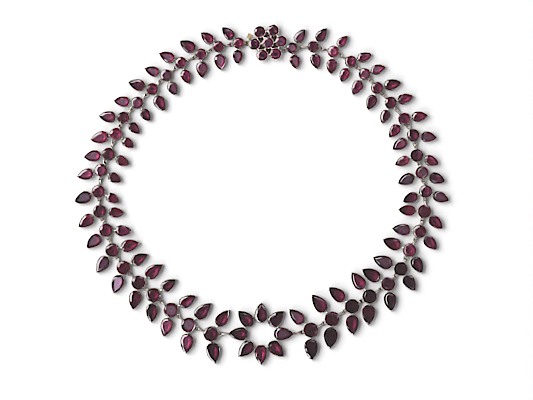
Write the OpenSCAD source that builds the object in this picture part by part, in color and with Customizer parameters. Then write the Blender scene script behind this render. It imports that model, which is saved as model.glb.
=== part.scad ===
// Garnet choker, lying flat on a table in a ring.
// Forty-two sprays make the chain, each a round stone with a leaf-shaped stone
// outside the line and one inside it. They grow from a seven-stone clasp at the
// back to an open flower of eight leaves at the front. Each stone sits in a
// setting with a closed back. A flat eye on every spray is held by the upright
// hoop of the next one, so the whole chain interlocks.
// Millimetres: +X to the right, +Y to the clasp, +Z up from the table.

/* [Sprays] */
// Radius of the round setting beside the clasp
round_r_back = 2.3; // [2.2:0.05:2.35]
// Radius of the round setting beside the flower
round_r_front = 3.05; // [2.9:0.05:3.1]
// Width of a leaf outside the line, as a share of its length
outer_share = 0.66; // [0.6:0.02:0.7]
// Width of a leaf inside the line, as a share of its length, beside the clasp
inner_share_back = 0.72; // [0.66:0.02:0.74]
// The same share beside the flower
inner_share_front = 0.62; // [0.6:0.02:0.66]
// Space between a round setting and the leaf outside it
outer_gap = 0.4; // [0.4:0.05:0.6]
// Space between a round setting and the leaf inside it, beside the clasp
inner_gap_back = 0.5; // [0.4:0.05:0.7]
// The same space beside the flower
inner_gap_front = 1; // [0.7:0.05:1.1]

/* [Settings] */
// Height of a setting from the table to its rim
setting_h = 2.6; // [2.4:0.1:3]
// Thickness of a setting's wall
wall_t = 0.35; // [0.3:0.05:0.4]
// Thickness of a setting's closed back
back_t = 0.4; // [0.3:0.05:0.6]
// Width of a solder bridge between two settings
bridge_w = 0.9; // [0.7:0.1:1.2]

/* [Stones] */
// Height of a stone's table above the rim
crown_h = 0.3; // [0.25:0.05:0.7]
// Depth of a stone's girdle below the rim
girdle_drop = 0.2; // [0.15:0.05:0.3]
// Play between a stone's girdle and its setting
stone_play = 0.06; // [0.05:0.01:0.1]
// Size of a stone's table as a share of its girdle
table_share = 0.7; // [0.5:0.02:0.72]

/* [Joints] */
// Thickness of the wire of a flat eye
eye_wire = 0.44; // [0.38:0.02:0.46]
// Radius of a flat eye, to the middle of its wire
eye_r = 0.7; // [0.68:0.01:0.74]
// Thickness of the wire of an upright hoop
hoop_wire = 0.5; // [0.4:0.02:0.54]
// Half the height of a hoop, to the middle of its wire
hoop_r = 0.68; // [0.66:0.01:0.7]

/* [Front flower] */
// Length of each leaf setting of the flower
petal_l = 8; // [7.6:0.1:8.2]
// Width of each leaf setting of the flower
petal_w = 5.3; // [5:0.1:5.4]
// Reach of the leaves that point up and down, from the middle to the tip
petal_reach_y = 12.4; // [12.2:0.1:12.6]
// Reach of the leaves that point left and right
petal_reach_x = 13.1; // [12.8:0.1:13.2]
// Reach of the slanting leaves
petal_reach_slant = 12.8; // [12.6:0.1:13]

/* [Clasp] */
// Radius of the clasp's middle setting
heart_r = 2.45; // [2.3:0.05:2.5]
// Radius of each of the six settings round it
rosette_r = 2.4; // [2.3:0.05:2.45]
// Distance from the clasp's middle to the middle of each of the six
rosette_ring = 5.4; // [5.3:0.05:5.5]
// Turn of the six settings, seen from above
rosette_turn = 6; // [4:1:8]
// Radius of the flat box behind the settings
box_r = 5.2; // [5:0.1:5.4]
// Height of the box, up to the backs of the settings
box_h = 1.35; // [1.3:0.05:1.5]
// Height of the clasp's rims above the table
clasp_rim_h = 3; // [2.9:0.1:3.4]
// Width of the tongue that slides into the box
tongue_w = 2.6; // [2:0.1:3]
// Thickness of the tongue
tongue_t = 0.35; // [0.3:0.05:0.4]
// Play of the tongue in its slot, on each side
tongue_play = 0.1; // [0.08:0.01:0.12]
// Width of the star-shaped thumb-piece across its points
star_w = 2.8; // [2.4:0.1:2.8]

/* [Hidden] */
$fn = 48;
SILVER = "#cdc8bd";
GARNET = "#7a1634";
GOLD = "#bda46a";

// How the chain lies, from the clasp to the flower, one row for each spray.
// x, y: middle of the round stone, before the whole is centred.
// lean: turn of a leaf towards the flower, from square across the chain.
// reach: from the middle of the round stone to the tip of the leaf.
X = 0;
Y = 1;
OUTER_LEAN = 2;
OUTER_REACH = 3;
INNER_LEAN = 4;
INNER_REACH = 5;
LEFT = [
    [-10.5, 62.5, 40, 9, 10, 8.5],
    [-18.5, 61, 35, 9, 10, 9.5],
    [-25.5, 58, 35, 10, 20, 9.5],
    [-33.5, 54.5, 35, 9.5, 10, 9],
    [-39.5, 49.5, 30, 9, 15, 9],
    [-45, 44, 30, 10, 15, 10],
    [-51, 38.5, 40, 9.5, 10, 9],
    [-56.5, 32.5, 30, 10, 10, 9],
    [-59.5, 26, 35, 10.5, 15, 9],
    [-62.5, 18, 30, 10, 5, 9.5],
    [-65.5, 11.5, 30, 10, 15, 9.5],
    [-66.5, 3, 25, 10.5, 25, 9.5],
    [-66, -5, 25, 10.5, 15, 10],
    [-63.5, -12.5, 25, 10.5, 20, 10.5],
    [-61, -20.5, 30, 11, 10, 11.5],
    [-56.5, -27.5, 30, 11, 10, 11],
    [-50.5, -33.5, 30, 11, 10, 12],
    [-44.5, -38.5, 35, 11, 15, 11],
    [-37.5, -44.5, 25, 11, 20, 11.5],
    [-30.5, -50.5, 25, 11.5, 15, 12.5],
    [-21.5, -54, 20, 12, 25, 12],
];
RIGHT = [
    [11, 60.5, 40, 9, 5, 8.5],
    [19.5, 61, 30, 9, 15, 9],
    [27.5, 59, 20, 8.5, 15, 9],
    [34.5, 55, 35, 9, 10, 9],
    [40, 50, 25, 9, 15, 9.5],
    [45, 44.5, 30, 10, 25, 9.5],
    [50.5, 38.5, 25, 9.5, 25, 9],
    [56, 32, 25, 9.5, 15, 9.5],
    [59.5, 25.5, 25, 9.5, 15, 10],
    [61, 17.5, 35, 9.5, 10, 9.5],
    [63, 10.5, 35, 10, 10, 10.5],
    [64.5, 3, 25, 10, 20, 10],
    [64, -5, 35, 10, 5, 10.5],
    [62, -13, 25, 10, 15, 11],
    [58, -20.5, 35, 10.5, 5, 11.5],
    [54.5, -28, 25, 10.5, 10, 12],
    [49.5, -34, 35, 11, 20, 12],
    [42, -39, 35, 11.5, 5, 12],
    [35, -43, 30, 11.5, 20, 12],
    [27, -48, 35, 12, 10, 12.5],
    [18.5, -52.5, 20, 12, 25, 12],
];
CLASP = [1.2, 62.5];
FLOWER = [-1.5, -54];

links = len(LEFT);
joint_h = setting_h / 2;
weld = 0.15;
root = 0.4;
eye_off = eye_r + eye_wire / 2 - weld;
bridge_h = 1.1;
bridge_z = 0.6;

// The tongue lies in a slot in the box, and its eye is level with it.
tongue_h = 0.95;
tongue_reach = 3.3;
tongue_end = 7.7;
tongue_eye = [-8.4, -0.1];
clasp_eye = [6.4, -2.85];
clasp_stub = [4.2, -3.6];
star_at = [-7.2, 2.6];
star_h = 2.3;
star_t = 0.6;
arm_w = 1;
short_point = 0.8;
clasp_low = box_h - 0.1;

// Outline of a leaf: a round end of radius r about the origin, and two arcs
// that leave it square and meet in a point d away along +X. It starts at the
// tip and goes round anticlockwise. inset moves it inwards all round.
function leaf_outline(r, d, inset, side_steps, end_steps) =
    let (arc = (d * d + r * r) / (2 * r), drop = arc - r, R = arc - inset)
    let (tip = sqrt(R * R - drop * drop), sweep = asin(tip / R))
    concat(
        [for (k = [0 : side_steps - 1])
            let (q = sweep * (1 - k / side_steps)) [R * sin(q), R * cos(q) - drop]],
        [for (k = [0 : end_steps])
            let (q = 90 + 180 * k / end_steps) (r - inset) * [cos(q), sin(q)]],
        [for (k = [1 : side_steps - 1])
            let (q = sweep * k / side_steps) [R * sin(q), drop - R * cos(q)]]
    );

function round_outline(r, steps) =
    [for (k = [0 : steps - 1]) r * [cos(360 * k / steps), sin(360 * k / steps)]];

function direction(a, b) = atan2(b.y - a.y, b.x - a.x);
function step(p, angle, far) = p + far * [cos(angle), sin(angle)];

// side is 1 on the left of the photograph and -1 on the right. Place 0 is the
// eye on the clasp, and the last place is the tip of the flower's side leaf.
function rows(side) = side > 0 ? LEFT : RIGHT;
function row(side, i) = rows(side)[i - 1];
function flower_tip(side) = FLOWER - [side * petal_reach_x, 0];
function place(side, i) =
    i == 0 ? CLASP + (side > 0 ? tongue_eye : clasp_eye) :
    i > links ? flower_tip(side) :
    [row(side, i)[X], row(side, i)[Y]];
function along(back, front, i) = back + (front - back) * (i - 1) / (links - 1);
function round_r(i) = along(round_r_back, round_r_front, i);
function course(side, i) = direction(place(side, i - 1), place(side, i + 1));
function outer_turn(side, i) =
    course(side, i) - side * (90 - row(side, i)[OUTER_LEAN]);
function inner_turn(side, i) =
    course(side, i) + side * (90 - row(side, i)[INNER_LEAN]);
function eye_place(side, i) =
    i == 0 ? place(side, 0) :
    step(
        place(side, i),
        direction(place(side, i), place(side, i + 1)),
        round_r(i) + eye_off
    );

// A leaf on a spray, as [turn, gap, length, reach, width].
TURN = 0;
GAP = 1;
LENGTH = 2;
REACH = 3;
WIDTH = 4;
function outer_leaf(side, i) =
    let (reach = row(side, i)[OUTER_REACH])
    let (length = reach - round_r(i) - outer_gap)
    [outer_turn(side, i), outer_gap, length, reach, outer_share * length];
function inner_leaf(side, i) =
    let (reach = row(side, i)[INNER_REACH])
    let (gap = along(inner_gap_back, inner_gap_front, i))
    let (length = reach - round_r(i) - gap)
    let (share = along(inner_share_back, inner_share_front, i))
    [inner_turn(side, i), gap, length, reach, share * length];

// The box round everything gives the middle that the choker is centred on.
petal_angles = [for (k = [0 : 7]) 45 * k];
function petal_reach(angle) =
    angle % 180 == 0 ? petal_reach_x :
    angle % 90 == 0 ? petal_reach_y : petal_reach_slant;
rosette_angles = [for (k = [0 : 5]) 60 * k + rosette_turn];
leaf_tips = [
    for (side = [-1, 1], i = [1 : links])
        step(place(side, i), outer_turn(side, i), row(side, i)[OUTER_REACH])
];
petal_tips = [for (a = petal_angles) step(FLOWER, a, petal_reach(a))];
rosette_tops = [
    for (a = rosette_angles) step(CLASP, a, rosette_ring) + [0, rosette_r]
];
tips = concat(leaf_tips, petal_tips, rosette_tops);
xs = [for (p = tips) p.x];
ys = [for (p = tips) p.y];
middle = [(min(xs) + max(xs)) / 2, (min(ys) + max(ys)) / 2];

module laid(p, turn = 0)
    translate([p.x - middle.x, p.y - middle.y, 0]) rotate(turn) children();

// Outer form of a round setting, and the hollow in it that holds the stone.
module round_body(r, low, rim)
    translate([0, 0, low]) cylinder(r = r, h = rim - low);

module round_hollow(r, low, rim)
    translate([0, 0, low + back_t]) cylinder(r = r - wall_t, h = rim - low);

// The same of a leaf-shaped setting, with its tip at the origin.
module leaf_prism(l, w, inset, low, h)
    translate([w / 2 - l, 0, low])
        linear_extrude(h) polygon(leaf_outline(w / 2, l - w / 2, inset, 6, 12));

module leaf_body(l, w) leaf_prism(l, w, 0, 0, setting_h);

module leaf_hollow(l, w) leaf_prism(l, w, wall_t, back_t, setting_h);

// A cut stone: an eight-sided table, twenty-four crown facets, a girdle of
// sixteen sides and as many facets below, down to a small flat back.
module cut_stone(girdle, centre, back_share, heights) {
    table = [for (k = [0 : 2 : 14]) centre + table_share * (girdle[k] - centre)];
    back = [for (k = [0 : 2 : 14]) centre + back_share * (girdle[k] - centre)];
    points = concat(
        [for (p = table) [p.x, p.y, heights[0]]],
        [for (p = girdle) [p.x, p.y, heights[1]]],
        [for (p = back) [p.x, p.y, heights[2]]]
    );
    faces = concat(
        [[for (k = [7 : -1 : 0]) k], [for (k = [24 : 31]) k]],
        [for (k = [0 : 7]) [k, 9 + 2 * k, 8 + 2 * k]],
        [for (k = [0 : 7]) [k, (k + 1) % 8, 9 + 2 * k]],
        [for (k = [0 : 7]) [(k + 1) % 8, 8 + (2 * k + 2) % 16, 9 + 2 * k]],
        [for (k = [0 : 7]) [24 + k, 8 + 2 * k, 9 + 2 * k]],
        [for (k = [0 : 7]) [24 + (k + 1) % 8, 24 + k, 9 + 2 * k]],
        [for (k = [0 : 7]) [24 + (k + 1) % 8, 9 + 2 * k, 8 + (2 * k + 2) % 16]]
    );
    polyhedron(points, faces);
}

function stone_heights(low, rim) =
    [rim + crown_h, rim - girdle_drop, low + back_t + 0.15];

module round_stone(r, low, rim)
    cut_stone(
        round_outline(r - wall_t - stone_play, 16), [0, 0], 0.5, stone_heights(low, rim)
    );

module leaf_stone(l, w)
    translate([w / 2 - l, 0, 0])
        cut_stone(
            leaf_outline(w / 2, l - w / 2, wall_t + stone_play, 4, 8),
            [0.12 * l, 0], 0.5, stone_heights(0, setting_h)
        );

// The eye lies flat. The hoop stands upright and reaches along +X, from inside
// the setting it is soldered to until its bend is in the eye at x = far.
module eye() rotate_extrude() translate([eye_r, 0]) circle(d = eye_wire);

module hoop(near, far) {
    for (z = [-hoop_r, hoop_r])
        translate([near, 0, z])
            rotate([0, 90, 0]) cylinder(d = hoop_wire, h = far - hoop_r - near);
    translate([far - hoop_r, 0, 0])
        rotate([90, 0, 0]) rotate(-90)
            rotate_extrude(angle = 180) translate([hoop_r, 0]) circle(d = hoop_wire);
}

module bridge(near, far)
    translate([near, -bridge_w / 2, bridge_z]) cube([far - near, bridge_w, bridge_h]);

// Puts something on a leaf of a spray, at its tip.
module on_leaf(side, i, leaf)
    laid(place(side, i), leaf[TURN]) translate([leaf[REACH], 0, 0]) children();

module spray(side, i) color(SILVER) {
    r = round_r(i);
    here = place(side, i);
    leaves = [outer_leaf(side, i), inner_leaf(side, i)];
    before = eye_place(side, i - 1);
    hoop_far = norm(before - here);
    hoop_h = i == 1 && side > 0 ? tongue_h : joint_h;
    difference() {
        union() {
            laid(here) round_body(r, 0, setting_h);
            for (leaf = leaves) {
                on_leaf(side, i, leaf) leaf_body(leaf[LENGTH], leaf[WIDTH]);
                laid(here, leaf[TURN]) bridge(r - root, r + leaf[GAP] + root);
            }
            laid(eye_place(side, i)) translate([0, 0, joint_h]) eye();
            laid(here, direction(here, before))
                translate([0, 0, hoop_h]) hoop(r - root, hoop_far);
        }
        laid(here) round_hollow(r, 0, setting_h);
        for (leaf = leaves)
            on_leaf(side, i, leaf) leaf_hollow(leaf[LENGTH], leaf[WIDTH]);
    }
}

module round_garnets(side)
    color(GARNET)
        for (i = [1 : links])
            laid(place(side, i), course(side, i)) round_stone(round_r(i), 0, setting_h);

module outer_garnets(side)
    color(GARNET)
        for (i = [1 : links]) {
            leaf = outer_leaf(side, i);
            on_leaf(side, i, leaf) leaf_stone(leaf[LENGTH], leaf[WIDTH]);
        }

module inner_garnets(side)
    color(GARNET)
        for (i = [1 : links]) {
            leaf = inner_leaf(side, i);
            on_leaf(side, i, leaf) leaf_stone(leaf[LENGTH], leaf[WIDTH]);
        }

// Eight leaves round an open middle, soldered where their round ends meet.
module on_petals()
    for (a = petal_angles) laid(FLOWER, a) translate([petal_reach(a), 0, 0]) children();

module flower_setting() color(SILVER)
    difference() {
        union() {
            on_petals() leaf_body(petal_l, petal_w);
            for (a = petal_angles) petal_joint(a, a + 45);
            for (side = [-1, 1]) {
                tip = flower_tip(side);
                held = eye_place(side, links);
                laid(tip, direction(tip, held))
                    translate([0, 0, joint_h]) hoop(-root, norm(held - tip));
            }
        }
        on_petals() leaf_hollow(petal_l, petal_w);
    }

function petal_middle(angle) =
    step(FLOWER, angle, petal_reach(angle) - petal_l + petal_w / 2);

module petal_joint(a, b) {
    from = petal_middle(a);
    to = petal_middle(b % 360);
    laid(from, direction(from, to))
        bridge(petal_w / 2 - root, norm(to - from) - petal_w / 2 + root);
}

module flower_garnets()
    color(GARNET) on_petals() leaf_stone(petal_l, petal_w);

// A stone in the middle and six round it, on a flat box with a slot for the
// tongue. The next spray's hoop holds an eye between two of the six.
module on_rosette()
    for (a = rosette_angles) laid(step(CLASP, a, rosette_ring)) children();

module clasp_setting() color(SILVER)
    difference() {
        union() {
            laid(CLASP) cylinder(r = box_r, h = box_h);
            laid(CLASP) round_body(heart_r, clasp_low, clasp_rim_h);
            on_rosette() round_body(rosette_r, clasp_low, clasp_rim_h);
            for (a = rosette_angles) {
                from = step(CLASP, a, rosette_ring);
                laid(CLASP, a) clasp_bridge(heart_r, rosette_ring - rosette_r);
                laid(from, a + 120) clasp_bridge(rosette_r, rosette_ring - rosette_r);
            }
            laid(CLASP + clasp_eye) translate([0, 0, joint_h]) eye();
            laid(CLASP + clasp_stub, direction(clasp_stub, clasp_eye))
                translate([0, 0, joint_h]) rotate([0, 90, 0])
                    cylinder(d = eye_wire, h = norm(clasp_eye - clasp_stub) - eye_r);
        }
        laid(CLASP) round_hollow(heart_r, box_h, clasp_rim_h);
        on_rosette() round_hollow(rosette_r, box_h, clasp_rim_h);
        laid(CLASP) tongue_strip(tongue_play);
    }

module clasp_bridge(near, far)
    translate([near - root / 2, -bridge_w / 2, clasp_low])
        cube([far - near + root, bridge_w, bridge_h]);

module clasp_garnets() color(GARNET) {
    laid(CLASP, rosette_turn) round_stone(heart_r, box_h, clasp_rim_h);
    for (a = rosette_angles)
        laid(step(CLASP, a, rosette_ring), a)
            round_stone(rosette_r, box_h, clasp_rim_h);
}

// The tongue: a flat strip that slides into the box, with the eye that the
// first spray hooks on its outer end and a star to push it in with.
module tongue_strip(play)
    translate([-tongue_end, -tongue_w / 2 - play, tongue_h - tongue_t / 2 - play])
        cube([tongue_end + tongue_reach + play, tongue_w + 2 * play, tongue_t + 2 * play]);

// The star's fourth point is cut short, clear of the setting beside it.
module star() {
    far = [star_w / 2, star_w / 2, star_w / 2, short_point];
    points = [for (k = [0 : 7])
        (k % 2 == 0 ? far[k / 2] : star_w / 5) * [cos(45 * k), sin(45 * k)]];
    rotate(20) linear_extrude(star_t) polygon(points);
}

module clasp_tongue() color(GOLD) laid(CLASP) {
    tongue_strip(0);
    translate([tongue_eye.x, tongue_eye.y, tongue_h]) eye();
    translate([-tongue_end, 0, tongue_h - tongue_t / 2])
        cube([arm_w, star_at.y + arm_w / 2, tongue_t]);
    translate([star_at.x, star_at.y, tongue_h - tongue_t / 2]) {
        cylinder(d = arm_w, h = star_h - tongue_h);
        translate([0, 0, star_h - tongue_h]) star();
    }
}

function numbered(stem, i) = str(stem, i < 10 ? "0" : "", i);

for (i = [1 : links]) {
    spray(1, i);
    spray(-1, i);
}
flower_setting();
clasp_setting();
clasp_tongue();
round_garnets(1);  // round_garnets_left
round_garnets(-1);  // round_garnets_right
outer_garnets(1);  // outer_garnets_left
outer_garnets(-1);  // outer_garnets_right
inner_garnets(1);  // inner_garnets_left
inner_garnets(-1);  // inner_garnets_right
flower_garnets();
clasp_garnets();
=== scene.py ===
import math

import bpy
import numpy as np
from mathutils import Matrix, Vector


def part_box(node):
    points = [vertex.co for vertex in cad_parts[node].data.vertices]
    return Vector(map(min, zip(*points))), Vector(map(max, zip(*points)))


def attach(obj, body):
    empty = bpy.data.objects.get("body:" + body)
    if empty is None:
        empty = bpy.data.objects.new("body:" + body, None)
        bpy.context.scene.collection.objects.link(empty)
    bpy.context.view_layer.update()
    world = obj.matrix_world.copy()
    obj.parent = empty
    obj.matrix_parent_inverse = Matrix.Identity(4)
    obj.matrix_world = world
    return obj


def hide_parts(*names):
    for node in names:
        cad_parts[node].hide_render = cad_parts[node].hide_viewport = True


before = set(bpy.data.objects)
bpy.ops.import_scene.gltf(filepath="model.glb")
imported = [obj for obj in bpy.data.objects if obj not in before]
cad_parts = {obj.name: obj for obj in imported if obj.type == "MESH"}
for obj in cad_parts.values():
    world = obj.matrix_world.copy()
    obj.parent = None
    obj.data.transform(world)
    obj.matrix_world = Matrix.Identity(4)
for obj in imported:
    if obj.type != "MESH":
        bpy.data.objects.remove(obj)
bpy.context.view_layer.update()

MM = 0.001

# The table top and the studio.
# A plain white surface, soft lights at the upper and lower left, three small cards overhead
# that the stones mirror, and a long lens straight above. The picture is sharpened slightly.
FLOOR_SIZE = 6.0
FLOOR_GREY = 0.595
FLOOR_DROP = 0.02 * MM
CAMERA_HEIGHT = 0.95
CAMERA_FROM_FLOWER = (2.18 * MM, 53.6 * MM)
PICTURE_WIDTH = 213.2 * MM
RIM_LEVEL = 2.8 * MM
SENSOR = 36
SHARPENING = 0.25
PIXEL_BLUR = 0.85
SKY = (  # height of the direction, from level to straight up, and its grey
    (0.0, 0.1), (0.2, 0.15), (0.45, 0.42), (0.8, 0.36), (0.93, 0.35), (0.975, 0.33),
    (1.0, 0.31),
)
SKY_BLUE = 1.03
CARD_TINT = (1.06, 0.76, 1.1)

scene = bpy.context.scene
scene.view_settings.view_transform = "Standard"
scene.view_settings.look = "None"
scene.cycles.filter_width = PIXEL_BLUR

scene.use_nodes = True
tree = scene.node_tree
crisp = tree.nodes.new("CompositorNodeFilter")
crisp.filter_type = "SHARPEN_DIAMOND"
crisp.inputs["Fac"].default_value = SHARPENING
layers = next(n for n in tree.nodes if n.type == "R_LAYERS")
picture = next(n for n in tree.nodes if n.type == "COMPOSITE")
tree.links.new(layers.outputs["Image"], crisp.inputs["Image"])
tree.links.new(crisp.outputs["Image"], picture.inputs["Image"])


def new_material(name):
    """A material with one Principled shader, and its node tree."""
    material = bpy.data.materials.new(name)
    material.use_nodes = True
    tree = material.node_tree
    return material, tree, tree.nodes["Principled BSDF"]


paper, tree, shader = new_material("white table top")
shader.inputs["Base Color"].default_value = (FLOOR_GREY, FLOOR_GREY, FLOOR_GREY, 1)
shader.inputs["Roughness"].default_value = 0.9
shader.inputs["Specular IOR Level"].default_value = 0.2
half = FLOOR_SIZE / 2
mesh = bpy.data.meshes.new("table_top")
mesh.from_pydata(
    [(-half, -half, 0), (half, -half, 0), (half, half, 0), (-half, half, 0)],
    [], [(0, 1, 2, 3)],
)
mesh.materials.append(paper)
floor = bpy.data.objects.new("table_top", mesh)
floor.location.z = -FLOOR_DROP
scene.collection.objects.link(floor)

world = bpy.data.worlds.new("studio")
scene.world = world
world.use_nodes = True
tree = world.node_tree
back = tree.nodes["Background"]
where = tree.nodes.new("ShaderNodeTexCoord")
split = tree.nodes.new("ShaderNodeSeparateXYZ")
ramp = tree.nodes.new("ShaderNodeValToRGB")
tree.links.new(where.outputs["Generated"], split.inputs[0])
tree.links.new(split.outputs["Z"], ramp.inputs[0])
tree.links.new(ramp.outputs[0], back.inputs["Color"])
while len(ramp.color_ramp.elements) < len(SKY):
    ramp.color_ramp.elements.new(0.5)
for stop, (height, grey) in zip(ramp.color_ramp.elements, SKY):
    stop.position = height
    stop.color = (grey, grey, grey * SKY_BLUE, 1)
back.inputs["Strength"].default_value = 1.0


def soft_light(name, size, far, zenith, azimuth, radiance):
    """A square card light at a distance far from the middle, turned to face it. zenith is
    its angle from straight up, and azimuth is anticlockwise from the right."""
    light = bpy.data.lights.new(name, "AREA")
    light.shape = "SQUARE"
    light.size = size
    light.energy = radiance * math.pi * size * size
    piece = bpy.data.objects.new(name, light)
    z, a = math.radians(zenith), math.radians(azimuth)
    piece.location = (
        far * math.sin(z) * math.cos(a), far * math.sin(z) * math.sin(a),
        far * math.cos(z),
    )
    piece.rotation_mode = "QUATERNION"
    piece.rotation_quaternion = piece.location.to_track_quat("Z", "Y")
    scene.collection.objects.link(piece)
    return piece


soft_light("key", size=2.2, far=2.6, zenith=38, azimuth=157, radiance=7.9)
soft_light("fill", size=1.1, far=2.6, zenith=50, azimuth=228, radiance=7.0)
cards = [
    soft_light("dim card", size=0.24, far=1.7, zenith=11, azimuth=-160, radiance=0.45),
    soft_light("pale card", size=0.24, far=1.7, zenith=11, azimuth=-40, radiance=1.0),
    soft_light("window card", size=0.20, far=1.7, zenith=11, azimuth=70, radiance=4.0),
]
for card in cards:
    card.data.color = CARD_TINT

camera = bpy.data.objects.new("camera", bpy.data.cameras.new("camera"))
camera.data.sensor_width = SENSOR
camera.data.lens = SENSOR * (CAMERA_HEIGHT - RIM_LEVEL) / PICTURE_WIDTH
flower_low, flower_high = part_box("flower_garnets")
camera.location = (
    (flower_low[0] + flower_high[0]) / 2 + CAMERA_FROM_FLOWER[0],
    (flower_low[1] + flower_high[1]) / 2 + CAMERA_FROM_FLOWER[1],
    CAMERA_HEIGHT,
)
scene.collection.objects.link(camera)
scene.camera = camera


# The garnets, one hundred and forty-one of them.
# Flat-cut stones with a large table, a low crown and coloured foil behind the
# lower facets. Each lies in the closed setting where its CAD stone lies.
EDGE_OUT = 0.20 * MM
TABLE_IN = 0.82 * MM
CROWN_IN = 0.44 * MM
CROWN_RISE = 0.18 * MM
TABLE_RISE = 0.22 * MM
GIRDLE_LEAN = 0.35
STEEP_SHARE = 0.68
STEEP_DROP = 1.05 * MM
MID_ROUND = (0.38, 0.38)
MID_LEAF = (0.36, 0.32)
KEEL_ALONG = 0.08
TABLE_ALONG = 0.2
CUT = 16
WELD = 0.001 * MM
SAME_LEVEL = 0.01 * MM
ROUND_WITHIN = 1.05


def cad_stones(node):
    """Corners of each loose stone of a node. Every corner starts with a label of its own, and
    each triangle gives its corners their lowest label until none changes."""
    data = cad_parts[node].data
    points = np.empty(len(data.vertices) * 3)
    data.vertices.foreach_get("co", points)
    points = points.reshape(-1, 3)
    corners = np.empty(len(data.loops), int)
    data.loops.foreach_get("vertex_index", corners)
    keys, same = np.unique(np.round(points / WELD), axis=0, return_inverse=True)
    corners = same.ravel()[corners].reshape(-1, 3)
    label = np.arange(len(keys))
    while True:
        low = label[corners].min(1)
        new = label.copy()
        np.minimum.at(new, corners, low[:, None])
        if (new == label).all():
            break
        label = new
    return [keys[label == k] * WELD for k in np.unique(label)]


def seat(stone):
    """Place, turn, end radius and length of a stone, from its sixteen girdle corners.
    The tip is the corner farthest from the middle, and the opposite one is the round end."""
    levels = np.unique(stone[:, 2].round(6))
    ring = stone[np.abs(stone[:, 2] - levels[1]) < SAME_LEVEL][:, :2]
    middle = ring.mean(0)
    ring = ring[np.argsort(np.arctan2(*(ring - middle).T[::-1]))]
    far = np.hypot(*(ring - middle).T)
    if far.max() / far.min() < ROUND_WITHIN:
        return dict(at=middle, turn=0.0, r=far.mean(), d=0.0, girdle=levels[1])
    tip = far.argmax()
    along = ring[tip] - ring[(tip + CUT // 2) % CUT]
    length = np.hypot(*along)
    along = along / length
    wide = np.abs((ring - middle) @ [-along[1], along[0]]).max()
    return dict(
        at=ring[tip] - along * (length - wide), turn=math.atan2(along[1], along[0]),
        r=wide, d=length - wide, girdle=levels[1],
    )


def seats(node, side=0):
    """All seats of a node, in the order of the chain from the clasp to the flower. side is
    1 on the left and -1 on the right, and the caller sorts the seats of no side."""
    found = [seat(s) for s in cad_stones(node)]
    return sorted(found, key=lambda s: math.atan2(-side * s["at"][0], s["at"][1]))


def outline(part, share, out, r, d):
    """Points of a stone's or setting's outline, at a distance out from the girdle.
    Two arcs leave a round end square and meet in a point at d along the axis; part is 0
    on the left arc, 1 on the round end and 2 on the right arc, and share runs along it.
    A round stone, with d zero, is a circle."""
    if d == 0:
        angle = 2 * math.pi * (part + share) / 3
        return (r + out) * np.cos(angle), (r + out) * np.sin(angle)
    big = (d * d + r * r) / (2 * r)
    drop = big - r
    sweep = np.arccos(drop / (big + out))
    q = np.where(part == 0, sweep * (1 - share), sweep * share)
    a = math.pi / 2 + math.pi * share
    x = np.where(part == 1, (r + out) * np.cos(a), (big + out) * np.sin(q))
    y = np.where(part == 1, (r + out) * np.sin(a), (big + out) * np.cos(q) - drop)
    return x, np.where(part == 2, -y, y)


def laid(x, y, s):
    """Points turned and moved to a seat s."""
    c, n = math.cos(s["turn"]), math.sin(s["turn"])
    return s["at"][0] + c * x - n * y, s["at"][1] + n * x + c * y


def ring_faces(rows, cols, first=0):
    """Triangles of a grid that closes along its columns, with outward faces."""
    i, j = np.meshgrid(np.arange(rows - 1), np.arange(cols), indexing="ij")
    a = first + i * cols + j
    b = first + i * cols + (j + 1) % cols
    c, d = b + cols, a + cols
    return np.concatenate([
        np.stack([a, b, c], -1).reshape(-1, 3), np.stack([a, c, d], -1).reshape(-1, 3)
    ])


def fan(centre, ring, up):
    """Triangles from a centre to a closed ring, facing up or down."""
    after = np.roll(ring, -1)
    pair = (ring, after) if up else (after, ring)
    return np.stack([np.full(len(ring), centre), *pair], -1)


def zigzag(many, few, up):
    """Triangles between a ring of sixteen corners and the eight above or below it.
    Every second corner of the sixteen stands by one of the eight."""
    k = np.arange(len(few))
    n = len(few)
    a, b, c = many[2 * k], many[2 * k + 1], many[(2 * k + 2) % (2 * n)]
    here, after = few, few[(k + 1) % n]
    tri = np.concatenate([
        np.stack([a, b, here], -1), np.stack([here, b, after], -1),
        np.stack([b, c, after], -1),
    ])
    return tri if up else tri[:, ::-1]


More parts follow.
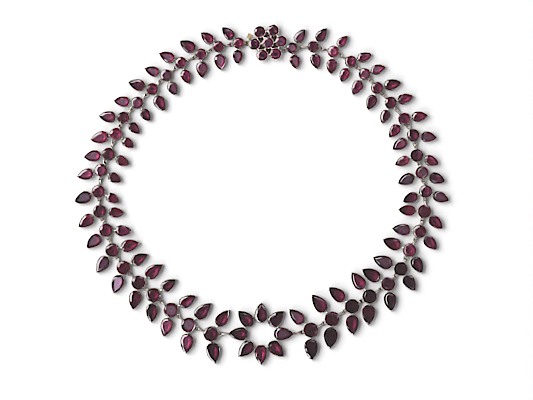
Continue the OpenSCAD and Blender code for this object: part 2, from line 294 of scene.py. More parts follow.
def cut_stone(s, tilt, slopes, keel, height, uneven, bumps):
    """Corners and triangles of one stone: a table, two rows of crown facets, the girdle, a
    steep row of foiled facets, and two flatter rows down to a keel. Each ring is the
    outline drawn in by a length above the girdle, and by a share below it. tilt is the
    table's slope, slopes are those of the two flatter rows, keel moves the lowest point and
    height scales the crown. The crown's outer row rises by bumps more, and by uneven's
    length on the side it points to."""
    r, d, girdle = s["r"], s["d"], s["girdle"]
    if d == 0:
        part, share = np.divmod(3 * np.arange(CUT) / CUT, 1)
    else:
        part = np.repeat([0, 1, 2], [4, 9, 3])
        share = np.concatenate([np.arange(4) / 4, np.arange(9) / 8, np.arange(1, 4) / 4])
    even = slice(0, CUT, 2)
    x, y = outline(part, share, EDGE_OUT, r, d)
    rings = [(x, y, 0.0, GIRDLE_LEAN, 0)]
    for inset, rise in ((CROWN_IN, CROWN_RISE), (TABLE_IN, TABLE_RISE)):
        x, y = outline(part[even], share[even], EDGE_OUT - inset, r, d)
        rings.append((x, y, height * rise, 1.0, 0))
    x0, y0 = KEEL_ALONG * d + keel[0], keel[1]
    x, y = outline(part[even], share[even], 0.0, r, d)
    long, wide = MID_ROUND if d == 0 else MID_LEAF
    mid_drop = STEEP_DROP + (STEEP_SHARE - wide) * r * slopes[0]
    keel_drop = mid_drop + wide * r * slopes[1]
    for along, across, drop, low in (
        (STEEP_SHARE, STEEP_SHARE, STEEP_DROP, 0), (long, wide, mid_drop, 1)
    ):
        rings.append((x0 + along * (x - x0), y0 + across * (y - y0), -drop, 1.0, low))
    ends = np.array([-keel_drop, height * TABLE_RISE])
    rings.append((np.array([x0, TABLE_ALONG * d]), np.array([y0, 0]), ends, 1.0, 1))
    points, deep = [], []
    for k, (x, y, z, share, low) in enumerate(rings):
        u, v = laid(x, y, s)
        a, b = u - s["at"][0], v - s["at"][1]
        lean = share * (tilt[0] * a + tilt[1] * b)
        if k == 1:
            toward_it = (a * uneven[0] + b * uneven[1]) / np.hypot(a, b)
            lean += bumps + np.clip(toward_it, 0, None)
        points.append(np.stack([u, v, girdle + z + lean + 0 * u], -1))
        deep.append(np.full(len(u), float(low)))
    points = np.concatenate(points)
    n = CUT // 2
    g = np.arange(CUT)
    crown, table, steep, mid = (np.arange(n) + CUT + n * k for k in range(4))
    bottom = CUT + 4 * n
    top = np.concatenate([
        zigzag(g, crown, True), ring_faces(2, n, CUT), fan(bottom + 1, table, True)
    ])
    low = np.concatenate([
        zigzag(g, steep, False), ring_faces(2, n, CUT + 2 * n)[:, ::-1],
        fan(bottom, mid, False),
    ])
    return points, top, low, np.concatenate(deep)


def new_piece(name, points, faces, materials, slot_of=None, smooth=False, marks=None):
    """An object made from arrays of corners and triangles, that rides on the body.
    slot_of is each triangle's material, and marks are values kept with the corners."""
    mesh = bpy.data.meshes.new(name)
    mesh.vertices.add(len(points))
    mesh.vertices.foreach_set("co", points.astype(np.float32).ravel())
    mesh.loops.add(faces.size)
    mesh.loops.foreach_set("vertex_index", faces.astype(np.int32).ravel())
    mesh.polygons.add(len(faces))
    mesh.polygons.foreach_set("loop_start", np.arange(0, faces.size, 3, dtype=np.int32))
    mesh.update(calc_edges=True)
    for material in materials:
        mesh.materials.append(material)
    if slot_of is not None:
        mesh.polygons.foreach_set("material_index", slot_of.astype(np.int32))
    mesh.polygons.foreach_set("use_smooth", np.full(len(faces), smooth))
    for key, values in (marks or {}).items():
        mark = mesh.attributes.new(key, "FLOAT", "POINT")
        mark.data.foreach_set("value", values.astype(np.float32))
    mesh.validate()
    piece = bpy.data.objects.new(name, mesh)
    scene.collection.objects.link(piece)
    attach(piece, "root")
    return piece


grain = bpy.data.node_groups.new("grain", "ShaderNodeTree")
for name in ("Scale", "Low", "High"):
    grain.interface.new_socket(name, in_out="INPUT", socket_type="NodeSocketFloat")
grain.interface.new_socket("Value", in_out="OUTPUT", socket_type="NodeSocketFloat")
given = grain.nodes.new("NodeGroupInput")
result = grain.nodes.new("NodeGroupOutput")
where = grain.nodes.new("ShaderNodeTexCoord")
noise = grain.nodes.new("ShaderNodeTexNoise")
noise.inputs["Detail"].default_value = 2.0
level = grain.nodes.new("ShaderNodeMapRange")
level.inputs["From Min"].default_value = 0.3
level.inputs["From Max"].default_value = 0.7
grain.links.new(where.outputs["Object"], noise.inputs["Vector"])
grain.links.new(given.outputs["Scale"], noise.inputs["Scale"])
grain.links.new(noise.outputs["Fac"], level.inputs["Value"])
grain.links.new(given.outputs["Low"], level.inputs["To Min"])
grain.links.new(given.outputs["High"], level.inputs["To Max"])
grain.links.new(level.outputs["Result"], result.inputs["Value"])


def grained(tree, scale, low, high):
    """A value that wanders between low and high over the surface, scale times a metre."""
    node = tree.nodes.new("ShaderNodeGroup")
    node.node_tree = grain
    for name, value in (("Scale", scale), ("Low", low), ("High", high)):
        node.inputs[name].default_value = value
    return node.outputs["Value"]


garnet, tree, shader = new_material("garnet")
tint = tree.nodes.new("ShaderNodeMix")
tint.data_type = "RGBA"
tint.inputs["A"].default_value = (0.60, 0.10, 0.265, 1)
tint.inputs["B"].default_value = (0.54, 0.12, 0.34, 1)
tree.links.new(grained(tree, 90.0, low=0.0, high=1.0), tint.inputs["Factor"])
tree.links.new(tint.outputs["Result"], shader.inputs["Base Color"])
tree.links.new(grained(tree, 1500.0, low=0.01, high=0.05), shader.inputs["Roughness"])
shader.inputs["IOR"].default_value = 1.8
shader.inputs["Transmission Weight"].default_value = 1.0

foil, tree, shader = new_material("ruby foil")
shader.inputs["Metallic"].default_value = 1.0
tone = tree.nodes.new("ShaderNodeAttribute")
tone.attribute_name = "tone"
crease = tree.nodes.new("ShaderNodeMath")
crease.operation = "MULTIPLY"
ramp = tree.nodes.new("ShaderNodeValToRGB")
ramp.color_ramp.elements[0].color = (0.02, 0.010, 0.014, 1)
ramp.color_ramp.elements[1].color = (0.86, 0.20, 0.45, 1)
tree.links.new(tone.outputs["Fac"], crease.inputs[0])
tree.links.new(grained(tree, 1500.0, low=0.3, high=1.7), crease.inputs[1])
tree.links.new(crease.outputs[0], ramp.inputs[0])
tree.links.new(ramp.outputs[0], shader.inputs["Base Color"])
matte = tree.nodes.new("ShaderNodeAttribute")
matte.attribute_name = "matte"
tree.links.new(matte.outputs["Fac"], shader.inputs["Roughness"])

# How each stone looks from above. First its body, from k near black through d, w and p to
# r ruby, then how strong its ruby spot is, then how bright a card its table mirrors. The
# chain's stones are listed from the clasp to the flower, those of the flower and the clasp
# anticlockwise from the right, after the clasp's middle one.
CHART = {
    "outer_garnets_left":
        "d30 r20 w30 r22 r12 w01 r22 w21 r31 r22 p31 d02 p10 w12 d01 d23 w00 k10 p31 p31 k10",
    "round_garnets_left":
        "r30 p00 p10 p20 w01 p10 w21 w20 r30 d10 w11 w10 d20 w10 d10 w00 d00 d20 w02 w02 d10",
    "inner_garnets_left":
        "w22 p22 p11 r30 d11 w10 d30 w10 p00 p00 w00 p00 p00 p10 p10 d20 p20 k10 w10 d20 w20",
    "outer_garnets_right":
        "d11 d10 r20 p20 r22 d20 p20 p20 w01 p10 k10 w01 w10 w10 k10 k00 k00 d00 d10 k00 k00",
    "round_garnets_right":
        "w22 w10 r31 p20 p11 p10 w10 p10 d10 d10 w01 d20 w00 w00 p20 k00 d00 k00 k00 d00 d00",
    "inner_garnets_right":
        "r12 p10 r20 r30 p20 d10 w00 p10 w11 p20 k01 d10 p00 w01 w10 d01 k10 w20 w10 d10 w11",
    "flower_garnets": "d01 d00 k10 k20 k20 k10 w20 d20",
    "clasp_garnets": "p11 p21 w10 w10 d10 w20 p20",
}
BODY = {  # tone and matteness of the foil behind the steep facets
    "k": (0.12, 0.38), "d": (0.22, 0.38), "w": (0.33, 0.4), "p": (0.46, 0.42),
    "r": (0.60, 0.45),
}
SPOT = {"1": (0.13, 0.3), "2": (0.21, 0.26), "3": (0.34, 0.22)}  # the same at the keel
CAMERA_AT = np.array(camera.location)
MIRRORED = [CAMERA_AT] + [np.array(card.location) for card in cards]
SPOT_SLOPES = (0.20, 0.12)
DARK_SLOPES = (0.45, 0.34)
SLOPE_RANGE = (0.85, 1.15)
TABLE_WANDER = 0.014
KEEL_WANDER = 0.12 * MM
KEEL_ASIDE = 0.26
KEEL_TO = math.radians(-38)
UNEVEN = 0.04 * MM
UNEVEN_TO = math.radians(230)
UNEVEN_WANDER = 0.3
UNEVEN_SPAN = 60 * MM
RISE_WANDER = 0.2
BUMPS = 0.022 * MM
CROWN_SPAN = 130 * MM
CROWN_WANDER = 0.08
LOW_CROWN = (0.26, 0.06)
LOW_CHANCE = (-0.25, 1.1)
SOFTER = (0.16, -0.14)
SOFTER_WANDER = 0.14
SOFTER_MOST = 0.45

dice = np.random.default_rng(7)


def table_tilt(s, aim):
    """Slope of a table that mirrors the point aim to the camera: its normal lies half way
    between the two directions."""
    here = np.array([*s["at"], s["girdle"]])
    a, b = aim - here, CAMERA_AT - here
    half = a / np.linalg.norm(a) + b / np.linalg.norm(b)
    return -half[:2] / half[2]


def garnets(name, places):
    """All stones of one field in one piece that stands for the CAD node of that name.
    Crowns rise more on the side away from the light towards the upper left of the choker,
    and more of them are low and don't mirror the light towards its lower right."""
    points, faces, kind, tones, mattes = [], [], [], [], []
    count = 0
    for s, (body, spot, veil) in zip(places, CHART[name].split()):
        tilt = table_tilt(s, MIRRORED[int(veil)]) + dice.normal(0, TABLE_WANDER, 2)
        slopes = DARK_SLOPES if spot == "0" else SPOT_SLOPES
        slopes = np.array(slopes) * dice.uniform(*SLOPE_RANGE, 2)
        keel = dice.normal(0, KEEL_WANDER, 2)
        keel += KEEL_ASIDE * s["r"] * np.array([
            math.cos(KEEL_TO - s["turn"]), math.sin(KEEL_TO - s["turn"])
        ])
        way = UNEVEN_TO + dice.normal(0, UNEVEN_WANDER)
        up_left = s["at"][1] - s["at"][0]
        rise = np.clip(0.5 + up_left / UNEVEN_SPAN, 0, 1) + dice.normal(0, RISE_WANDER)
        uneven = UNEVEN * rise * np.array([math.cos(way), math.sin(way)])
        away = np.clip(0.5 - up_left / CROWN_SPAN, 0, 1)
        height = dice.normal(1.0, CROWN_WANDER)
        if dice.random() < LOW_CHANCE[0] + LOW_CHANCE[1] * away:
            height = dice.normal(*LOW_CROWN)
        softer = dice.normal(SOFTER[0] + SOFTER[1] * away, SOFTER_WANDER)
        softer = np.clip(softer, 0, SOFTER_MOST) * CROWN_RISE
        bumps = dice.normal(0, BUMPS, CUT // 2) - softer
        p, top, low, deep = cut_stone(s, tilt, slopes, keel, height, height * uneven, bumps)
        points.append(p)
        faces += [top + count, low + count]
        kind += [np.zeros(len(top)), np.ones(len(low))]
        (tone_a, matte_a), (tone_b, matte_b) = BODY[body], SPOT.get(spot, BODY[body])
        tones.append(tone_a + (tone_b - tone_a) * deep)
        mattes.append(matte_a + (matte_b - matte_a) * deep)
        count += len(p)
    piece = new_piece(
        name.replace("garnets", "stones"), np.concatenate(points), np.concatenate(faces),
        [garnet, foil], np.concatenate(kind),
        marks={"tone": np.concatenate(tones), "matte": np.concatenate(mattes)},
    )
    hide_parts(name)


SIDES = {"left": 1, "right": -1}


def round_turn(way):
    """Place in the cluster: first the middle stone, then anticlockwise from the right."""
    return -1 if np.hypot(*way) < MM else math.atan2(way[1], way[0]) % (2 * math.pi)


field = {
    (kind, side): seats(f"{kind}_garnets_{side}", SIDES[side])
    for side in SIDES for kind in ("round", "outer", "inner")
}
flower = seats("flower_garnets")
rosette = seats("clasp_garnets")
for (kind, side), places in field.items():
    garnets(f"{kind}_garnets_{side}", places)
flower = sorted(flower, key=lambda s: s["turn"] % (2 * math.pi))
garnets("flower_garnets", flower)
clasp_at = np.mean([s["at"] for s in rosette], 0)
rosette = sorted(rosette, key=lambda s: round_turn(s["at"] - clasp_at))
garnets("clasp_garnets", rosette)


# The chain's forty-two sprays, in silver.
# Each has three settings with a closed back and a cut-down, toothed rim, joined by short
# solder bridges, a flat eye towards the flower and an upright hoop towards the clasp.
RIM_OUT = 0.41 * MM
FOOT = 0.12 * MM
BACK = 0.4 * MM
RIM_OVER = 0.2 * MM
TOOTH = 1.1 * MM
PER_TOOTH = 6
TOOTH_SHARPNESS = 0.62
SOLDER_IN = 0.2 * MM


def collet(s, low=0.0, darkening_scale=1.0):
    """A toothed cup as rings round a stone: flat back, upright wall, teeth bent over the
    stone's edge, and the inner wall. Each ring is the outline drawn in by an inset. Inset,
    height and darkening swing between their values in a gap and on a tooth with the cosine of
    the way round, cut off flat at both ends. The darkening is partly tarnish in the gaps and
    partly painted shade on the back, the outer wall and the teeth's flanks, while the teeth's
    inward tops stay bright. The last argument scales the darkening."""
    r, d, rim = s["r"], s["d"], s["girdle"] + RIM_OVER
    if d == 0:
        arcs = np.full(3, 2 * math.pi * r / 3)
    else:
        big = (d * d + r * r) / (2 * r)
        side = big * math.acos((big - r) / big)
        arcs = np.array([side, math.pi * r, side])
    teeth = round((arcs.sum() + math.pi * RIM_OUT) / TOOTH)
    t = np.arange(teeth * PER_TOOTH) / (teeth * PER_TOOTH)
    ends = np.cumsum(arcs) / arcs.sum()
    part = np.searchsorted(ends, t, side="right").clip(0, 2)
    share = (t - np.append(0, ends)[part]) / (arcs[part] / arcs.sum())
    tooth = np.clip(0.5 + TOOTH_SHARPNESS * np.cos(2 * math.pi * teeth * t), 0, 1)
    profile = [  # inset and depth below the rim in a gap, then on a tooth, in mm, and darkening: partly tarnish, partly painted shade
        (0.24, None, 0.08, None, 1.0, 1.0),
        (0.16, None, 0.00, None, 0.3, 0.3),
        (0.18, 1.10, -0.06, 1.10, 0.6, 0.9),
        (0.19, 0.50, -0.12, 0.30, 1.0, 1.0),
        (0.22, 0.42, -0.10, 0.00, 1.0, 1.0),
        (0.26, 0.40, 0.00, -0.07, 1.0, 0.85),
        (0.29, 0.42, 0.31, 0.03, 1.0, 0.05),
        (0.31, 0.46, 0.34, 0.10, 1.0, 1.0),
        (0.36, 0.54, 0.36, 0.54, 1.0, 1.0),
        (0.36, None, 0.36, None, 1.0, 1.0),
    ]
    heights = {0: low, 1: low + FOOT, 9: low + BACK}
    points, shade_and_tarnish = [], []
    for k, (gap_in, gap_z, tooth_in, tooth_z, gap_dark, tooth_dark) in enumerate(profile):
        inset = (gap_in + (tooth_in - gap_in) * tooth) * MM
        x, y = outline(part, share, RIM_OUT - inset, r, d)
        if k in heights:
            z = np.full(len(t), heights[k])
        else:
            z = rim - (gap_z + (tooth_z - gap_z) * tooth) * MM
        points.append(np.stack([*laid(x, y, s), z], -1))
        # Painted shade with some tarnish, from the profile's last two columns.
        shade_and_tarnish.append(darkening_scale * (gap_dark + (tooth_dark - gap_dark) * tooth))
    n = len(t)
    x, y = laid(np.array([TABLE_ALONG * d] * 2), np.zeros(2), s)
    centres = np.stack([x, y, [low, low + BACK]], -1)
    rows = len(profile)
    points = np.concatenate([*points, centres])
    shade_and_tarnish = np.concatenate([*shade_and_tarnish, [0.8, 1.0]])
    ring = np.arange(n)
    faces = np.concatenate([
        ring_faces(rows, n), fan(rows * n, ring, False),
        fan(rows * n + 1, ring + (rows - 1) * n, True),
    ])
    return points, faces, shade_and_tarnish


def joined(parts):
    """Several shells in one mesh."""
    points, faces, shade_and_tarnish, count = [], [], [], 0
    for p, f, dark in parts:
        points.append(p)
        faces.append(f + count)
        shade_and_tarnish.append(dark)
        count += len(p)
    return np.concatenate(points), np.concatenate(faces), np.concatenate(shade_and_tarnish)


# Painted shade on wires: darker from the crest down the sides and underneath, over an even
# tarnish.
WIRE_TARNISH = 0.29
WIRE_CREST, WIRE_SIDE = 0.95, 0.70


def tube(path, across, wire, sides=10, closed=False):
    """A wire along a flat path: a circle carried along it, square to it. across is the
    direction square to the path's plane. Over an even tarnish, painted shade grows from the
    crest down the sides and underneath, between two heights that are shares of the wire's
    radius."""
    if closed:
        ahead = np.roll(path, -1, 0) - np.roll(path, 1, 0)
    else:
        ahead = np.gradient(path, axis=0)
    ahead /= np.linalg.norm(ahead, axis=1)[:, None]
    other = np.cross(ahead, across)
    turn = 2 * math.pi * np.arange(sides) / sides
    wide = np.broadcast_to(wire, len(path))[:, None, None] / 2
    out = np.cos(turn)[None, :, None] * across + np.sin(turn)[None, :, None] * other[:, None]
    points = (path[:, None] + wide * out).reshape(-1, 3)
    under = np.clip((WIRE_CREST - out[..., 2].ravel()) / (WIRE_CREST - WIRE_SIDE), 0, 1)
    shade_and_tarnish = WIRE_TARNISH + (1 - WIRE_TARNISH) * under
    rows = len(path)
    if closed:
        faces = ring_faces(rows + 1, sides) % (rows * sides)
    else:
        points = np.concatenate([points, path[:1], path[-1:]])
        ring = np.arange(sides)
        faces = np.concatenate([
            ring_faces(rows, sides), fan(rows * sides, ring, False),
            fan(rows * sides + 1, ring + (rows - 1) * sides, True),
        ])
        shade_and_tarnish = np.append(shade_and_tarnish, [1.0, 1.0])
    return points, faces, shade_and_tarnish


EYE_R = 0.73 * MM
EYE_WIRE = 0.5 * MM
EYE_OUT = 0.77 * MM
HOOP_R = 0.68 * MM
HOOP_WIRE = 0.37 * MM
HOOP_APART = 0.48 * MM
JOINT_H = 1.3 * MM
EYE_STEPS = 24
BEND_STEPS = 13
TONGUE_LEVEL = 0.95 * MM
UP = np.array([0.0, 0.0, 1.0])


def eye(at, height=JOINT_H):
    """A flat ring of wire, with its middle line on a circle round at."""
    a = 2 * math.pi * np.arange(EYE_STEPS) / EYE_STEPS
    path = np.stack([at[0] + EYE_R * np.cos(a), at[1] + EYE_R * np.sin(a), height + 0 * a], -1)
    return tube(path, -UP, EYE_WIRE, closed=True)


def hoop(start, end, height=JOINT_H):
    """Two upright loops of wire side by side: out from start at the top, round the bend at
    end, and back below. start lies inside the setting's wall and end is the middle of the
    eye they hold."""
    along = end - start
    far = np.hypot(*along)
    along = along / far
    a = np.linspace(math.pi / 2, -math.pi / 2, BEND_STEPS)
    run = np.concatenate([[0, (far - HOOP_R) / 2], far - HOOP_R + HOOP_R * np.cos(a)])
    rise = np.concatenate([[HOOP_R, HOOP_R], HOOP_R * np.sin(a)])
    run, rise = np.append(run, run[1::-1]), np.append(rise, -rise[1::-1])
    path = np.stack([start[0] + along[0] * run, start[1] + along[1] * run, height + rise], -1)
    across = np.array([-along[1], along[0], 0.0])
    return joined([
        tube(path + side * HOOP_APART / 2 * across, across, HOOP_WIRE) for side in (1, -1)
    ])


BRIDGE_W = 0.9 * MM
BRIDGE_H = 1.1 * MM
BRIDGE_Z = 0.6 * MM
WAIST = 0.72
BRIDGE_CREST, BRIDGE_SIDE = 0.9, 0.4


def bridge(start, end, low=BRIDGE_Z, rows=7, sides=12):
    """A drop of solder between two settings: an oval carried from start to end, narrowed
    to its waist half way by a parabola. Painted shade grows from its crest down the sides
    and underneath."""
    along = end - start
    along = along / np.hypot(*along)
    across = np.array([-along[1], along[0], 0.0])
    t = np.linspace(0, 1, rows)
    narrow = WAIST + (1 - WAIST) * (2 * t - 1) ** 2
    turn = 2 * math.pi * np.arange(sides) / sides
    level = np.full((rows, 1), low + BRIDGE_H / 2)
    path = np.concatenate([start + np.outer(t, end - start), level], 1)
    points = path[:, None] + narrow[:, None, None] * (
        BRIDGE_W / 2 * np.cos(turn)[None, :, None] * across
        + BRIDGE_H / 2 * np.sin(turn)[None, :, None] * UP
    )
    points = np.concatenate([points.reshape(-1, 3), path[:1], path[-1:]])
    ring = np.arange(sides)
    faces = np.concatenate([
        ring_faces(rows, sides), fan(rows * sides, ring, False),
        fan(rows * sides + 1, ring + (rows - 1) * sides, True),
    ])
    # Painted shade, darker down the sides and underneath.
    under = np.clip((BRIDGE_CREST - np.sin(turn)) / (BRIDGE_CREST - BRIDGE_SIDE), 0, 1)
    return points, faces, np.append(np.tile(under, rows), [1.0, 1.0])


# Metal darkening: a mark kept with each corner, made uneven by a grain, turns the metal
# towards a dark colour, less metallic and rougher. The mark is partly tarnish and partly
# painted shade.
painted_shade_and_tarnish = bpy.data.node_groups.new("painted_shade_and_tarnish", "ShaderNodeTree")
for name, kind in (("Metal", "Color"), ("Shade And Tarnish", "Color"), ("Grain", "Float")):
    painted_shade_and_tarnish.interface.new_socket(name, in_out="INPUT", socket_type=f"NodeSocket{kind}")
for name, kind in (("Color", "Color"), ("Bright", "Float"), ("Roughness", "Float")):
    painted_shade_and_tarnish.interface.new_socket(name, in_out="OUTPUT", socket_type=f"NodeSocket{kind}")
given = painted_shade_and_tarnish.nodes.new("NodeGroupInput")
result = painted_shade_and_tarnish.nodes.new("NodeGroupOutput")
shade_and_tarnish = painted_shade_and_tarnish.nodes.new("ShaderNodeAttribute")
shade_and_tarnish.attribute_name = "shade_and_tarnish"
spread = painted_shade_and_tarnish.nodes.new("ShaderNodeMath")
spread.operation = "MULTIPLY"
shade_and_tarnish_mask = painted_shade_and_tarnish.nodes.new("ShaderNodeMapRange")
shade_and_tarnish_mask.interpolation_type = "SMOOTHSTEP"
shade_and_tarnish_mask.inputs["From Min"].default_value = 0.15
shade_and_tarnish_mask.inputs["From Max"].default_value = 0.75
painted_shade_and_tarnish.links.new(shade_and_tarnish.outputs["Fac"], spread.inputs[0])
painted_shade_and_tarnish.links.new(given.outputs["Grain"], spread.inputs[1])
painted_shade_and_tarnish.links.new(spread.outputs[0], shade_and_tarnish_mask.inputs["Value"])
blend = painted_shade_and_tarnish.nodes.new("ShaderNodeMix")
blend.data_type = "RGBA"
painted_shade_and_tarnish.links.new(shade_and_tarnish_mask.outputs["Result"], blend.inputs["Factor"])
painted_shade_and_tarnish.links.new(given.outputs["Metal"], blend.inputs["A"])
painted_shade_and_tarnish.links.new(given.outputs["Shade And Tarnish"], blend.inputs["B"])
painted_shade_and_tarnish.links.new(blend.outputs["Result"], result.inputs["Color"])
for name, clean, fully_marked in (("Bright", 1.0, 0.1), ("Roughness", 0.18, 0.6)):
    level = painted_shade_and_tarnish.nodes.new("ShaderNodeMapRange")
    level.inputs["To Min"].default_value = clean
    level.inputs["To Max"].default_value = fully_marked
    painted_shade_and_tarnish.links.new(shade_and_tarnish_mask.outputs["Result"], level.inputs["Value"])
    painted_shade_and_tarnish.links.new(level.outputs["Result"], result.inputs[name])


def shaded_tarnished_metal(name, metal, shade_and_tarnish_colour):
    """A metal darkened by a mark kept with its corners, partly tarnish in hollows and partly
    painted shade, spread unevenly by a fine grain.
    """
    material, tree, shader = new_material(name)
    fine = grained(tree, 900.0, low=0.6, high=1.4)
    darkening = tree.nodes.new("ShaderNodeGroup")
    darkening.node_tree = painted_shade_and_tarnish
    darkening.inputs["Metal"].default_value = (*metal, 1)
    darkening.inputs["Shade And Tarnish"].default_value = (*shade_and_tarnish_colour, 1)
    tree.links.new(fine, darkening.inputs["Grain"])
    tree.links.new(darkening.outputs["Color"], shader.inputs["Base Color"])
    tree.links.new(darkening.outputs["Bright"], shader.inputs["Metallic"])
    tree.links.new(darkening.outputs["Roughness"], shader.inputs["Roughness"])
    shader.inputs["Specular IOR Level"].default_value = 0.2
    bump = tree.nodes.new("ShaderNodeBump")
    bump.inputs["Strength"].default_value = 0.25
    bump.inputs["Distance"].default_value = 0.02 * MM
    tree.links.new(grained(tree, 2600.0, low=0.0, high=1.0), bump.inputs["Height"])
    tree.links.new(bump.outputs["Normal"], shader.inputs["Normal"])
    return material


# The dark colour stands for tarnish and for painted shade.
silver = shaded_tarnished_metal("silver with painted shade and tarnish", metal=(0.82, 0.74, 0.66), shade_and_tarnish_colour=(0.06, 0.038, 0.035))
SHARP_FROM = math.radians(40)


def metal_piece(name, parts, material, node):
    """A soldered metal piece made of several shells, that stands for one CAD node."""
    points, faces, dark = joined(parts)
    piece = new_piece(name, points, faces, [material], smooth=True, marks={"shade_and_tarnish": dark})
    piece.data.set_sharp_from_angle(angle=SHARP_FROM)
    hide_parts(node)


TONGUE_EYE = clasp_at + np.array([-8.4, -0.1]) * MM
CLASP_EYE = clasp_at + np.array([6.4, -2.85]) * MM


def tip_of(s):
    """The point of a leaf setting, on the outside of its wall."""
    big = (s["d"] ** 2 + s["r"] ** 2) / (2 * s["r"])
    reach = math.sqrt((big + RIM_OUT) ** 2 - (big - s["r"]) ** 2)
    return s["at"] + reach * np.array([math.cos(s["turn"]), math.sin(s["turn"])])


def toward(a, b, far):
    """The point at a distance far from a, on the way to b."""
    return a + (b - a) * far / np.hypot(*(b - a))


side_leaf = {side: max(flower, key=lambda s: -SIDES[side] * s["at"][0]) for side in SIDES}
last_eye = {}
for side in SIDES:
    rounds = field["round", side]
    before = TONGUE_EYE if side == "left" else CLASP_EYE
    for i, s in enumerate(rounds):
        here, wide = s["at"], s["r"] + RIM_OUT
        after = rounds[i + 1]["at"] if i + 1 < len(rounds) else tip_of(side_leaf[side])
        parts = [collet(s)]
        for kind in ("outer", "inner"):
            leaf = field[kind, side][i]
            parts.append(collet(leaf))
            reach = np.hypot(*(leaf["at"] - here)) - leaf["r"] - RIM_OUT
            parts.append(bridge(
                toward(here, leaf["at"], wide - SOLDER_IN),
                toward(here, leaf["at"], reach + SOLDER_IN),
            ))
        at = toward(here, after, wide + EYE_OUT)
        parts.append(eye(at))
        level = TONGUE_LEVEL if side == "left" and i == 0 else JOINT_H
        parts.append(hoop(toward(here, before, wide - SOLDER_IN), before, level))
        place = f"{side}_{i + 1:02d}"
        metal_piece(f"spray_{place}", parts, silver, f"link_{place}")
        before = at
    last_eye[side] = before


# The front flower, in silver.
# Eight leaf settings round an open middle, soldered to each other where their round ends
# meet, with a hoop at the tips on the left and right that holds the chain's last eyes.
PETAL_SOLDER = 0.2 * MM
HOOP_IN = 0.06

parts = [collet(s) for s in flower]
for a, b in zip(flower, flower[1:] + flower[:1]):
    parts.append(bridge(
        toward(a["at"], b["at"], a["r"] + PETAL_SOLDER),
        toward(b["at"], a["at"], b["r"] + PETAL_SOLDER),
    ))
for side, leaf in side_leaf.items():
    tip = tip_of(leaf)
    parts.append(hoop(tip - (tip - leaf["at"]) * HOOP_IN, last_eye[side]))
metal_piece("flower", parts, silver, "flower_setting")


# The clasp, in silver.
# Six round settings in a ring about a seventh, on a flat round box. The box is slotted for
# the tongue, and a stub of wire on the right holds the eye for the next spray's hoop.
BOX_R = 5.2 * MM
BOX_H = 1.35 * MM
BOX_BEVEL = 0.12 * MM
LID_EDGE = 0.02 * MM
SLOT_END = 3.4 * MM
SLOT_HALF = 1.4 * MM
SLOT_FLOOR = 0.675 * MM
SLOT_ROOF = 1.225 * MM
CLUSTER_LOW = 1.25 * MM
# The cluster's settings take only part of the painted shade and tarnish.
CLUSTER_DARKENING = 0.32
STUB = np.array([4.2, -3.6]) * MM
WALL_STEPS = 61
MOUTH_STEPS = 7


def clasp_box():
    """A round box with a slot cut in from its left side: six circles from the bottom up. The
    wall between the third and the fourth, at the slot's floor and roof, leaves out the
    slot's mouth, and there floor, roof and three walls run in to the slot's end."""
    mouth = math.asin(SLOT_HALF / BOX_R)
    a = np.linspace(math.pi + mouth, 3 * math.pi - mouth, WALL_STEPS)
    b = np.linspace(math.pi - mouth, math.pi + mouth, MOUTH_STEPS)[1:-1]
    m, n = len(a), len(a) + len(b)
    a = np.concatenate([a, b])
    circle = BOX_R * np.stack([np.cos(a), np.sin(a)], -1)
    narrow = circle * (1 - BOX_BEVEL / BOX_R)
    slot_end = np.array([[SLOT_END, SLOT_HALF], [SLOT_END, -SLOT_HALF]])
    rings = [
        (narrow, 0.0), (circle, BOX_BEVEL), (circle, SLOT_FLOOR), (circle, SLOT_ROOF),
        (circle, BOX_H - LID_EDGE), (narrow, BOX_H),
        (slot_end, SLOT_FLOOR), (slot_end, SLOT_ROOF),
        (np.zeros((1, 2)), 0.0), (np.zeros((1, 2)), BOX_H),
    ]
    points = np.concatenate([
        np.column_stack([clasp_at + xy, np.full(len(xy), z)]) for xy, z in rings
    ])
    floor_at, roof_at, floor_end, roof_end = 2 * n, 3 * n, 6 * n, 6 * n + 2
    ring = np.arange(n)
    wall = np.arange(m - 1)
    faces = [
        ring_faces(3, n), ring_faces(3, n, roof_at),
        np.stack([wall, wall + 1, wall + 1 + n], -1) + floor_at,
        np.stack([wall, wall + 1 + n, wall + n], -1) + floor_at,
        fan(6 * n + 4, ring, False), fan(6 * n + 5, ring + 5 * n, True),
    ]
    across_mouth = np.append(np.arange(m - 1, n), 0)
    for level, end, up in ((floor_at, floor_end, True), (roof_at, roof_end, False)):
        faces.append(fan(end, np.append(level + across_mouth, end + 1), up)[:-1])
    quads = [
        (floor_at + m - 1, floor_end, roof_end, roof_at + m - 1),
        (floor_end, floor_end + 1, roof_end + 1, roof_end),
        (floor_end + 1, floor_at, roof_at, roof_end + 1),
    ]
    faces.append(np.array([t for a, b, c, d in quads for t in ((a, b, c), (a, c, d))]))
    return points, np.concatenate(faces), np.ones(len(points))


parts = [collet(s, CLUSTER_LOW, CLUSTER_DARKENING) for s in rosette] + [clasp_box()]
heart, petals = rosette[0], rosette[1:]
for s, t in zip(petals, petals[1:] + petals[:1]):
    for a, b in ((heart, s), (s, t)):
        parts.append(bridge(
            toward(a["at"], b["at"], a["r"] + RIM_OUT - SOLDER_IN),
            toward(b["at"], a["at"], b["r"] + RIM_OUT - SOLDER_IN), CLUSTER_LOW,
        ))
parts.append(eye(CLASP_EYE))
stub = clasp_at + STUB
path = np.linspace([*stub, JOINT_H], [*toward(CLASP_EYE, stub, EYE_R), JOINT_H], 4)
parts.append(tube(path, UP, EYE_WIRE))
metal_piece("clasp", parts, silver, "clasp_setting")


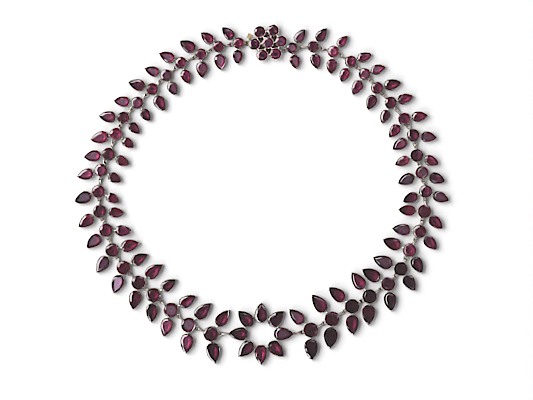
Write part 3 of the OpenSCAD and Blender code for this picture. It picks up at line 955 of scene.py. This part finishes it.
# The clasp's tongue, in gold.
# A flat strip that slides in the box, with the eye that the first spray hooks on its outer
# end, and an arm beside it that carries a small pointed star to push with a thumb.
TONGUE_T = 0.35 * MM
TONGUE_W = 2.6 * MM
TONGUE_OUT = 7.7 * MM
TONGUE_IN = 3.3 * MM
ARM_W = 1.0 * MM
ARM_UNDER = 0.15 * MM
ARM_THINNER = 0.02 * MM
STAR_AT = clasp_at + np.array([-7.2, 2.6]) * MM
STAR_LEVEL = 2.125 * MM
STAR_T = 0.6 * MM
STAR_W = 3.0 * MM
STAR_TURN = 20
STAR_HOLLOW = 0.29
SHORT_POINT = 0.8 * MM
POST_IN = 0.1 * MM
# Painted shade on a plate's rings, from the bottom up.
PLATE_SHADE = (0.9, 0.5, 0.2, 0.1)


def plate(shape, low, high, bevel=0.06 * MM):
    """A flat plate over an outline, with its edges bevelled: four rings of the outline, drawn
    in towards its middle at the top and bottom, and a fan on each face. Painted shade lessens
    from ring to ring on the way up, darkest underneath."""
    middle = shape.mean(0)
    inside = middle + (shape - middle) * (1 - bevel / np.hypot(*(shape - middle).T).max())
    rings = [(inside, low), (shape, low + bevel), (shape, high - bevel), (inside, high)]
    n = len(shape)
    points = [np.column_stack([xy, np.full(n, z)]) for xy, z in rings]
    points.append(np.array([[*middle, low], [*middle, high]]))
    ring = np.arange(n)
    faces = np.concatenate([
        ring_faces(4, n), fan(4 * n, ring, False), fan(4 * n + 1, ring + 3 * n, True)
    ])
    # Painted shade, darkest underneath.
    dark = np.concatenate([np.repeat(PLATE_SHADE, n), [0.9, 0.0]])
    return np.concatenate(points), faces, dark


def oblong(x0, x1, y0, y1):
    """Corners of an oblong, from its sides as measured from the clasp's middle."""
    return clasp_at + np.array([[x0, y0], [x1, y0], [x1, y1], [x0, y1]])


def star():
    """Four points and the hollows between them, the last point cut short."""
    far = np.array([STAR_W / 2, STAR_HOLLOW * STAR_W] * 4)
    far[6] = SHORT_POINT
    a = np.radians(STAR_TURN + 45 * np.arange(8))
    return STAR_AT + far[:, None] * np.stack([np.cos(a), np.sin(a)], -1)


gold = shaded_tarnished_metal("pale gold", metal=(0.50, 0.47, 0.27), shade_and_tarnish_colour=(0.10, 0.08, 0.04))
tongue_low, tongue_high = TONGUE_LEVEL - TONGUE_T / 2, TONGUE_LEVEL + TONGUE_T / 2
parts = [
    plate(
        oblong(-TONGUE_OUT, TONGUE_IN, -TONGUE_W / 2, TONGUE_W / 2),
        tongue_low, tongue_high,
    ),
    plate(
        oblong(
            ARM_THINNER - TONGUE_OUT, ARM_W - TONGUE_OUT, TONGUE_W / 2 - ARM_UNDER,
            STAR_AT[1] - clasp_at[1] + ARM_W / 2,
        ),
        tongue_low + ARM_THINNER, tongue_high - ARM_THINNER,
    ),
    eye(TONGUE_EYE, TONGUE_LEVEL),
    tube(
        np.linspace([*STAR_AT, tongue_low], [*STAR_AT, STAR_LEVEL + POST_IN], 4),
        np.array([1.0, 0.0, 0.0]), ARM_W, sides=16,
    ),
    plate(star(), STAR_LEVEL, STAR_LEVEL + STAR_T),
]
metal_piece("tongue", parts, gold, "clasp_tongue")
